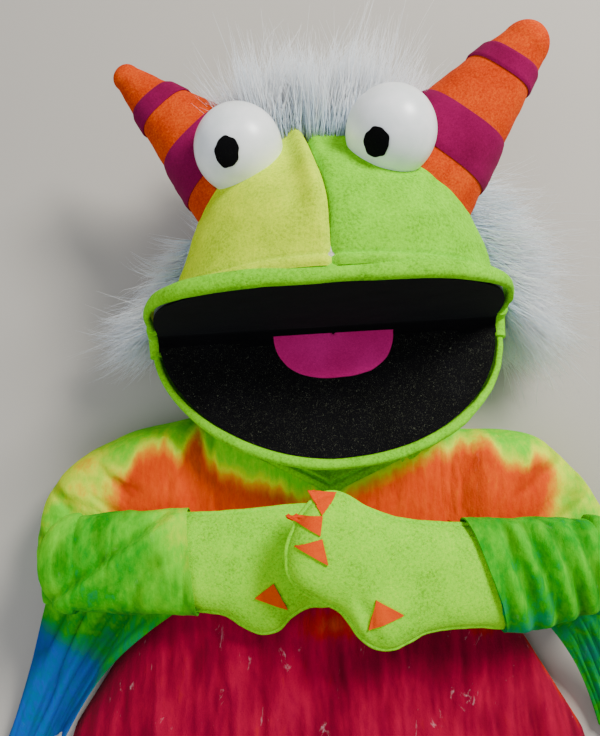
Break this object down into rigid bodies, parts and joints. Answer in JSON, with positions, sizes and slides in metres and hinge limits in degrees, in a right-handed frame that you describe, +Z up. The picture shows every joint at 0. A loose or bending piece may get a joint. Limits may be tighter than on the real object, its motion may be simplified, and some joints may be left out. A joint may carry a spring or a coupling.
{
  "type": "moving mouth puppet",
  "caption": "Soft monster hand puppet lying on its back: hinged felt mouth, round foam eyes, striped horns, fur, and stuffed arms in a tie-dyed costume.",
  "frame": {"origin": "on the table under the breast, on the flat back of the costume, midway between the sleeves", "axes": "+Z up from the table, out of the puppet's front; +Y from the hem towards the crown; +X to the right as its face is seen"},
  "size_m": [0.364, 0.4279, 0.1225],
  "materials": {
    "lime_fleece": "short-pile polyester fleece",
    "orange_fleece": "short-pile polyester fleece",
    "magenta_felt": "pressed craft felt",
    "orange_felt": "pressed craft felt",
    "black_felt": "pressed craft felt",
    "tie_dyed_gauze": "crinkled cotton gauze, tie-dyed",
    "faux_fur": "long-pile acrylic fur",
    "foam_ball": "smooth polystyrene foam, pearl finish",
    "soft_foam": "open-cell foam and polyester stuffing",
    "mouth_board": "stiff greyboard",
    "webbing": "woven elastic webbing"
  },
  "bodies": {
    "torso": {"body_sock": "lime_fleece", "shirt_front": "tie_dyed_gauze", "shirt_back": "tie_dyed_gauze"},
    "neck": {"neck_sock": "lime_fleece"},
    "neck_band": {"neck_band": "lime_fleece"},
    "head": {"head_skin_left": "lime_fleece", "head_skin_right": "lime_fleece", "head_foam": "soft_foam", "upper_lip_roll": "lime_fleece", "upper_mouth_board": "mouth_board", "upper_mouth_felt": "black_felt", "mouth_crease": "black_felt", "finger_strap": "webbing", "fur_back": "faux_fur", "fur_crown": "faux_fur", "fur_side_left": "faux_fur", "fur_side_right": "faux_fur", "eye_left": "foam_ball", "eye_right": "foam_ball", "pupil_left": "black_felt", "pupil_right": "black_felt", "horn_skin_left": "orange_fleece", "horn_skin_right": "orange_fleece", "horn_fill_left": "soft_foam", "horn_fill_right": "soft_foam", "horn_band_tip_left": "magenta_felt", "horn_band_tip_right": "magenta_felt", "horn_band_base_left": "magenta_felt", "horn_band_base_right": "magenta_felt"},
    "jaw": {"jaw_skin": "lime_fleece", "chin_foam": "soft_foam", "lower_lip_roll": "lime_fleece", "lower_mouth_board": "mouth_board", "lower_mouth_felt": "black_felt", "tongue": "magenta_felt", "thumb_strap": "webbing"},
    "arm_left": {"upper_arm_skin_left": "lime_fleece", "upper_arm_fill_left": "soft_foam", "sleeve_left": "tie_dyed_gauze", "sleeve_drape_left": "tie_dyed_gauze"},
    "forearm_left": {"sleeve_cuff_left": "tie_dyed_gauze", "hand_back_left": "lime_fleece", "hand_palm_left": "lime_fleece", "hand_fill_left": "soft_foam", "finger_claws_left": "orange_felt", "thumb_claw_left": "orange_felt"},
    "arm_right": {"upper_arm_skin_right": "lime_fleece", "upper_arm_fill_right": "soft_foam", "sleeve_right": "tie_dyed_gauze", "sleeve_drape_right": "tie_dyed_gauze"},
    "forearm_right": {"sleeve_cuff_right": "tie_dyed_gauze", "hand_back_right": "lime_fleece", "hand_palm_right": "lime_fleece", "hand_fill_right": "soft_foam", "finger_claws_right": "orange_felt", "thumb_claw_right": "orange_felt"}
  },
  "joints": [
    {"name": "head_tilt", "type": "hinge", "parent": "torso", "child": "neck", "pos_m": [0, 0.03, 0.0165], "axis": [0, 0, 1], "range_deg": [-11, 5]},
    {"name": "head_nod", "type": "hinge", "parent": "neck", "child": "neck_band", "pos_m": [-0.00183, 0.05994, 0.0165], "axis": [0.9981, 0.061, 0], "range_deg": [-10, 3]},
    {"name": "head_turn", "type": "hinge", "parent": "neck_band", "child": "head", "pos_m": [-0.00214, 0.06494, 0.0165], "axis": [-0.061, 0.9981, 0], "range_deg": [-12, 12]},
    {"name": "jaw_hinge", "type": "hinge", "parent": "head", "child": "jaw", "pos_m": [-0.00214, 0.06494, 0.05], "axis": [-0.9981, -0.061, 0], "range_deg": [0, 82]},
    {"name": "left_shoulder", "type": "hinge", "parent": "torso", "child": "arm_left", "pos_m": [-0.116, -0.014, 0.0155], "axis": [0, 0, -1], "range_deg": [0, 60]},
    {"name": "left_elbow", "type": "hinge", "parent": "arm_left", "child": "forearm_left", "pos_m": [-0.13, -0.052, 0.0155], "axis": [0, 0, -1], "range_deg": [0, 100]},
    {"name": "right_shoulder", "type": "hinge", "parent": "torso", "child": "arm_right", "pos_m": [0.116, -0.014, 0.0155], "axis": [0, 0, 1], "range_deg": [0, 60]},
    {"name": "right_elbow", "type": "hinge", "parent": "arm_right", "child": "forearm_right", "pos_m": [0.13, -0.052, 0.0155], "axis": [0, 0, 1], "range_deg": [0, 100]}
  ]
}
